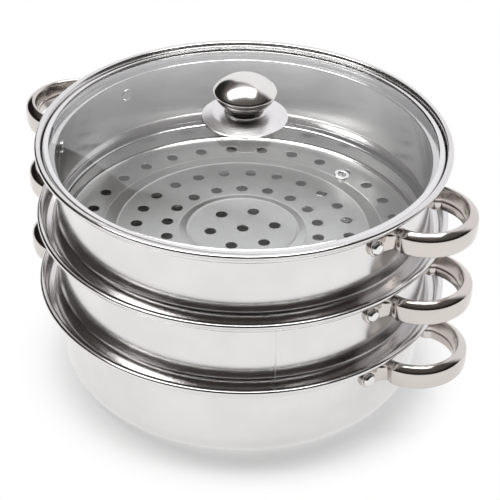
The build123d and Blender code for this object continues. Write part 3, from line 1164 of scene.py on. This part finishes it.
@dataclass
class Knob(Assembly):
    """Knob on its flange, with the screw, washer and gasket under the glass."""

    dome_top: float
    glass: GlassLid
    bore: float = 2.6
    flange_radius: float = 29.9
    flange_edge: float = 0.8
    flange_gaps: Point = (0.15, 0.1)
    flange_cut: float = 0.4
    flange_lean: float = 0.5
    flange_rise: float = 2.7
    flange_shoulder: float = 20.5
    flange_fall: float = 0.4
    flange_bends: tuple[float, ...] = (0.3, 0.3, 18.0, 0.8, 0.6)
    collar_radius: float = 13.8
    collar_height: float = 5.0
    collar_lean: float = 0.3
    neck_radius: float = 8.0
    neck_height: float = 2.3
    foot_radius: float = 13.7
    foot_curve: Curve = ((-0.7, 0.0), (-0.2, 0.2))
    radius: float = 21.9
    skirt_height: float = 11.0
    skirt_steps: int = 40
    skirt_insets: Point3 = (0.6, 0.6, 0.5)
    skirt_bulge: float = 1.1
    skirt_edge: Curve = ((-0.35, -0.15), (-0.5, 0.0))
    socket_height: float = 7.1
    groove: float = 0.35
    groove_shares: Point3 = (0.16, 0.62, 0.86)
    groove_share: float = 0.018
    rim_height: float = 1.2
    rim_curve: Curve = ((-0.45, 0.0), (-0.1, 0.2), (0.0, 0.45), (0.0, 0.8), (-0.1, 1.05))
    crown_height: float = 11.0
    crown_inset: float = 0.35
    crown_steps: int = 30
    ring_bore: float = 2.7
    ring_gap: float = 0.1
    gasket_radius: float = 11.0
    gasket_height: float = 1.5
    washer_radius: float = 9.0
    washer_height: float = 1.0
    screw_radius: float = 2.5
    screw_tip: Point = (0.3, 0.4)
    screw_reach: float = 6.9
    head_radius: float = 5.0
    head_seat: float = 4.8
    head_edge: float = 0.5
    head_height: float = 1.9
    slot: Point3 = (1.1, 0.9, 1.0)

    @property
    def skirt_foot(self) -> float:
        """Height of the skirt's foot."""
        return self.dome_top + self.collar_height + self.neck_height

    def add_flange(self) -> None:
        """Adds the flange, which is steeper towards its edge, and its collar."""
        seat = self.glass.top_height(self.flange_radius) + self.flange_gaps[0]
        shoulder = self.dome_top + self.flange_edge + self.flange_rise
        top = self.dome_top + self.collar_height
        r, cut = self.flange_radius, self.flange_cut
        outline = rounded([
            (self.bore, self.dome_top + self.flange_gaps[1]), (r - cut, seat), (r, seat + cut),
            (r - self.flange_lean, seat + self.flange_edge),
            (self.flange_shoulder, shoulder - self.flange_fall),
            (self.collar_radius, shoulder), (self.collar_radius - self.collar_lean, top), (self.bore, top),
        ], [0.0, 0.0, *self.flange_bends, 0.0], 16, closed=True)
        self.add_turned("knob_flange", "_cone", outline, FLANGE_STEEL, KNOB_SEGMENTS)

    def add_neck(self) -> None:
        """Adds the spacer."""
        heights = (self.skirt_foot - self.neck_height, self.skirt_foot)
        outline = ring_outline((self.bore, self.neck_radius), heights, [0.0, 0.2, 0.2, 0.0])
        # The spacer's near-black base colour is painted shade.
        self.add_turned("knob_neck", "_spacer", outline, NECK_STEEL_PAINTED_SHADE, RING_SEGMENTS)

    def add_skirt(self) -> None:
        """Adds the lower half, a cone with three thin turned grooves."""
        low = self.skirt_foot
        high = low + self.skirt_height
        side, foot, top = self.skirt_insets
        cone = []
        for k in range(1, self.skirt_steps):
            share = k / self.skirt_steps
            bulge = self.skirt_bulge * sin(pi * share)
            cut = sum(self.groove * exp(-((share - g) / self.groove_share) ** 2)
                      for g in self.groove_shares)
            cone.append((lerp(self.foot_radius, self.radius - side, share) + bulge - cut,
                         lerp(low + foot, high - top, share)))
        socket = low + self.socket_height
        outline = [(self.bore, low), *shifted(self.foot_curve, self.foot_radius, low), *cone,
                   *shifted(self.skirt_edge, self.radius, high), (0.0, high),
                   (0.0, socket), (self.bore, socket)]
        # The skirt's dark base colour is painted shade.
        self.add_turned("knob_skirt", "_cone", outline, SKIRT_STEEL_PAINTED_SHADE, KNOB_SEGMENTS)

    def add_cap(self) -> None:
        """Adds the crown above its upright rim."""
        low = self.skirt_foot + self.skirt_height
        crown = (self.radius**2 + self.crown_height**2) / (2 * self.crown_height)
        top = low + self.rim_height + self.crown_height
        edge = asin((self.radius - self.crown_inset) / crown)
        turns = [edge * (1 - k / self.crown_steps) for k in range(self.crown_steps)]
        dome = [(crown * sin(turn), top - crown + crown * cos(turn)) for turn in turns]
        outline = [(0.0, low), *shifted(self.rim_curve, self.radius, low), *dome, (0.0, top)]
        self.add_turned("knob_cap", "_crown", outline, KNOB_STEEL, KNOB_SEGMENTS, False, 60.0)

    def add_stack(self) -> None:
        """Adds the gasket, the washer and the screw under the glass."""
        under = self.glass.top_height(self.gasket_radius) - self.glass.thickness - self.ring_gap
        plate = under - self.gasket_height
        seat = plate - self.washer_height - self.ring_gap
        gasket = ring_outline((self.ring_bore, self.gasket_radius), (plate, under), [0.2, 0.6, 0.3, 0.2], 4)
        washer = ring_outline((self.ring_bore, self.washer_radius), (plate - self.washer_height, plate),
                              [0.1, 0.25, 0.2, 0.1])
        tip = self.skirt_foot + self.screw_reach
        rim = seat - self.head_edge
        head = [(self.head_radius * cos(turn), rim - self.head_height * sin(turn))
                for turn in (pi / 2 * k / 8 for k in range(8))]
        floor, (outer, inner, depth) = rim - self.head_height, self.slot
        screw = [(0.0, tip), (self.screw_radius - self.screw_tip[0], tip),
                 (self.screw_radius, tip - self.screw_tip[1]), (self.screw_radius, seat),
                 (self.head_seat, seat), *head, (outer, floor), (inner, floor + depth), (0.0, floor + depth)]
        self.add_turned("knob_gasket", "_ring", gasket, SILICONE, RING_SEGMENTS)
        self.add_turned("knob_washer", "_ring", washer, FLANGE_STEEL, RING_SEGMENTS)
        self.add_turned("knob_screw", "_turned", screw, SCREW_STEEL, 64, closed=False)

    def build(self) -> None:
        """Makes the knob's pieces."""
        self.add_flange()
        self.add_neck()
        self.add_skirt()
        self.add_cap()
        self.add_stack()


# Studio


@dataclass(frozen=True)
class PhotoCamera:
    """Camera at the photograph's viewing angle. Angles are in degrees and lengths in metres."""

    azimuth: float = 28.75
    elevation: float = 34.078
    roll: float = 1.2445
    aim_side: float = -0.003941
    aim_up: float = 0.076659
    distance: float = 1.41454
    pivot_height: float = 0.1833
    lens: float = 147.30
    sensor: float = 36.0
    clip: Point = (0.05, 50.0)

    def build(self) -> None:
        """Makes the camera and hands the scene over to it."""
        rise, roll = radians(self.elevation), radians(self.roll)
        forward = Vector((0, cos(rise), -sin(rise)))
        side, up = Vector((1, 0, 0)), Vector((0, sin(rise), cos(rise)))
        right = side * cos(roll) + up * sin(roll)
        above = up * cos(roll) - side * sin(roll)
        spot = -(self.aim_side * right + self.aim_up * above + self.distance * forward)
        turn = Matrix.Rotation(radians(self.azimuth), 4, "Z")
        pose = Matrix((right, above, -forward)).transposed().to_4x4()
        data = bpy.data.cameras.new("photo_camera")
        data.lens, data.sensor_width = self.lens, self.sensor
        data.clip_start, data.clip_end = self.clip
        camera = placed("photo_camera", data)
        pivot = Matrix.Translation((0, 0, self.pivot_height))
        camera.matrix_world = pivot @ turn @ Matrix.Translation(spot) @ pose
        bpy.context.scene.camera = camera


@dataclass(frozen=True)
class Studio:
    """White floor, the room that the steel mirrors and the softbox overhead."""

    azimuth: float = 28.75  # the room's front faces the camera
    floor_rings: tuple[float, ...] = (0.3, 0.6, 1.2, 2.4, 6.0)
    # edges of the white panel behind: a plane's shares of side, back and up, and its softness
    panel: tuple[tuple[float, float, float, float], ...] = (
        (0.69, 0.69, -0.31, 0.002), (0.91, 0.42, 0.0, 0.004),
        (-0.24, 0.97, 0.0, 0.12), (0.5, 0.86, -0.505, 0.04),
    )
    ceiling: float = 0.35
    ceiling_tilt: float = 0.05
    ceiling_edge: Point = (0.0, 0.1)
    ceiling_rise: Point = (0.8, 0.95)
    black: Colour = (0.012, 0.011, 0.010)
    dark: Colour = (0.085, 0.074, 0.066)
    dim: Colour = (0.09, 0.081, 0.073)
    turn: Point = (-0.5, 0.7)
    rise: Point = (0.44, 0.7)
    cool: Colour = (0.98, 0.975, 1.0)
    white: Colour = (1.0, 1.0, 1.0)
    horizon: Point = (-0.02, 0.0)
    paper: float = 0.95
    glow: float = 0.4  # even light beside the object, so that its shadows stay pale
    fade: Point = (0.12, 0.17)
    mirror_glow: float = 0.8
    box_height: float = 1.7
    box_centre: Point = (-0.20, -0.05)  # side and back, for each unit of its height
    box_size: Point = (1.2, 0.40)
    box_light: float = 8.0

    def floor(self) -> None:
        """Makes the floor, white to the camera and to mirrors, with the object's shadow kept."""
        body = bmesh.new()
        turn_outline(body, [(0.0, 0.0)] + [(r / MM, 0.0) for r in self.floor_rings], 64, closed=False)
        sheet = finished("studio_floor", body)
        paper = bpy.data.materials.new("studio_paper")
        shader = Shader(paper)
        rays = shader.node("LightPath", output="Is Camera Ray")
        x, y, _ = shader.parts(shader.place())
        spread = (x * x + y * y).power(0.5).ramp(*self.fade, self.glow, 1.0)
        seen = rays.larger(rays.output("Is Transmission Ray")) * spread
        seen = seen.larger(rays.output("Is Glossy Ray") * self.mirror_glow)
        matt = shader.node("BsdfDiffuse", values={"Color": (self.paper,) * 3})
        glow = shader.node("Emission", values={"Color": self.white, "Strength": 1.0})
        mix = shader.node("MixShader", values={0: seen, 1: matt, 2: glow})
        shader.node("OutputMaterial", values={"Surface": mix})
        sheet.data.materials.append(paper)

    def room(self) -> None:
        """Makes the world: white to the camera, and a lit and an unlit side to mirrors."""
        world = bpy.data.worlds.new("studio_room")
        bpy.context.scene.world = world
        shader = Shader(world)
        x, y, z = shader.parts(shader.node("TexCoord", output="Generated"))
        side, back = along_across(x, y, self.azimuth)
        lit = [(side * a + back * b + z * c).ramp(-soft, soft) for a, b, c, soft in self.panel]
        panel = lit[0] * lit[1] * lit[2] * lit[3]
        ceiling = (back - z * self.ceiling_tilt).ramp(*self.ceiling_edge) * z.ramp(*self.ceiling_rise)
        below = z.ramp(*self.horizon, 1.0, 0.0)
        rays = shader.node("LightPath", output="Is Camera Ray")
        seen = rays.larger(rays.output("Is Transmission Ray"))
        walls = shader.blend(side.ramp(*self.turn), self.dark, self.dim)
        walls = shader.blend(z.ramp(*self.rise), self.black, walls)
        tone = shader.blend(panel.larger(ceiling * self.ceiling), walls, self.cool)
        tone = shader.blend(below.larger(seen), tone, self.white)
        glow = shader.node("Background", values={"Color": tone, "Strength": 1.0})
        shader.node("OutputWorld", values={"Surface": glow})

    def softbox(self) -> None:
        """Makes the softbox that hangs flat over the object."""
        turn = Matrix.Rotation(radians(self.azimuth), 4, "Z")
        width, depth = (share * self.box_height for share in self.box_size)
        data = bpy.data.lights.new("softbox", "AREA")
        data.shape, data.size, data.size_y = "RECTANGLE", width, depth
        data.energy = self.box_light * pi * width * depth
        lamp = placed("softbox", data)
        spot = Vector((*(share * self.box_height for share in self.box_centre), self.box_height))
        lamp.matrix_world = turn @ Matrix.Translation(spot)

    def build(self) -> None:
        """Makes the floor, the room and the softbox."""
        bpy.context.scene.view_settings.view_transform = "Standard"
        self.floor()
        self.room()
        self.softbox()


def main() -> None:
    """Builds and dresses the whole object, then the studio."""
    logging.basicConfig(level=logging.INFO, format="%(message)s")
    rim = RolledRim()
    pot = Pot("pot", rim)
    lower_top = pot.rim_top + Steamer.pitch
    upper_top = lower_top + Steamer.pitch
    lid = GlassLid("lid", rim, upper_top)
    assemblies: list[Assembly] = [
        pot,
        Steamer("lower_steamer", rim, lower_top, SEAMED_STEEL),
        Steamer("upper_steamer", rim, upper_top),
        lid,
        Knob("lid", upper_top + lid.dome_height, lid),
    ]
    for assembly in assemblies:
        assembly.build()
        assembly.dress()
    PhotoCamera().build()
    Studio().build()


if __name__ == "__main__":
    main()
